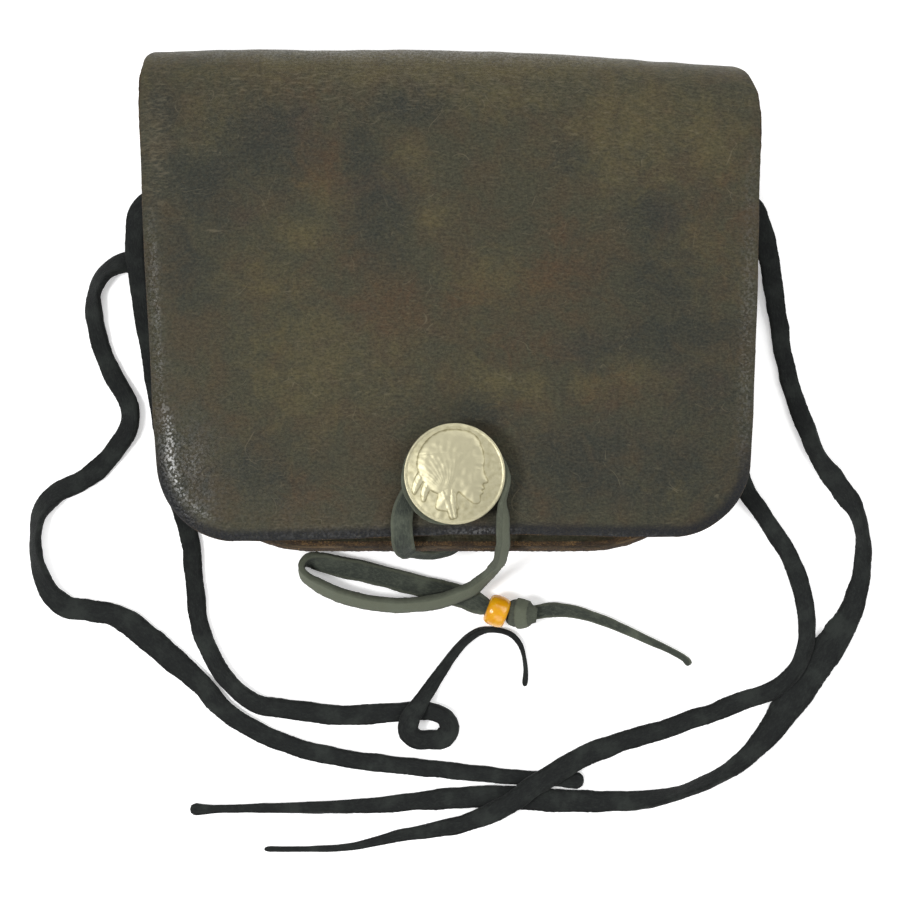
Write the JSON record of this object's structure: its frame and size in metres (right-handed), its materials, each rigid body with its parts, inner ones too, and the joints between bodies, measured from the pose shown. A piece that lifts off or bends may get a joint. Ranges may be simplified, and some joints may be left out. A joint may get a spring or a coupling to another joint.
{
  "type": "leather medicine bag",
  "caption": "Small flat leather pouch with a fold-over flap, a coin button with a wrapped suede closure lace and glass bead, and long suede strap laces at its sides.",
  "frame": {"origin": "on the ground under the middle of the bag, laces left out, with the bag lying on its back", "axes": "+X to the right as one looks at the bag's front, +Y up the bag to its top fold, +Z out of its front"},
  "size_m": [0.1813, 0.1727, 0.0307],
  "materials": {
    "smooth_hide": "satin, mottled olive brown and black, fine grain, worn edges",
    "rough_hide": "matt, raw cut edges",
    "nickel": "worn, tarnished in its hollows",
    "brass": "plain",
    "amber_glass": "opaque, glossy",
    "grey_suede": "nap, dark on one face and pale grey-green on the other",
    "black_suede": "nap, frayed edges"
  },
  "bodies": {
    "pouch": {"back_panel": "smooth_hide", "front_panel": "smooth_hide", "gusset": "rough_hide", "closure_anchor_knot": "grey_suede", "strap_lace_left_inner": "black_suede", "strap_lace_left_outer": "black_suede", "strap_lace_right_outer": "black_suede", "strap_lace_right_inner": "black_suede", "strap_bridge_left": "black_suede", "strap_bridge_right": "black_suede"},
    "spine": {"top_fold": "smooth_hide"},
    "flap": {"flap": "smooth_hide", "coin": "nickel", "coin_base": "brass", "coin_screw": "brass", "closure_lace_wrap": "grey_suede", "closure_lace_hook": "grey_suede", "closure_lace": "grey_suede", "closure_lace_tip": "grey_suede", "bead": "amber_glass", "lace_knot": "grey_suede"}
  },
  "joints": [
    {"name": "back_fold", "type": "hinge", "parent": "pouch", "child": "spine", "pos_m": [0, 0.0507, 0.0033], "axis": [-1, 0, 0], "range_deg": [0, 85]},
    {"name": "front_fold", "type": "hinge", "parent": "spine", "child": "flap", "pos_m": [0, 0.0507, 0.0207], "axis": [-1, 0, 0], "range_deg": [0, 85]}
  ]
}
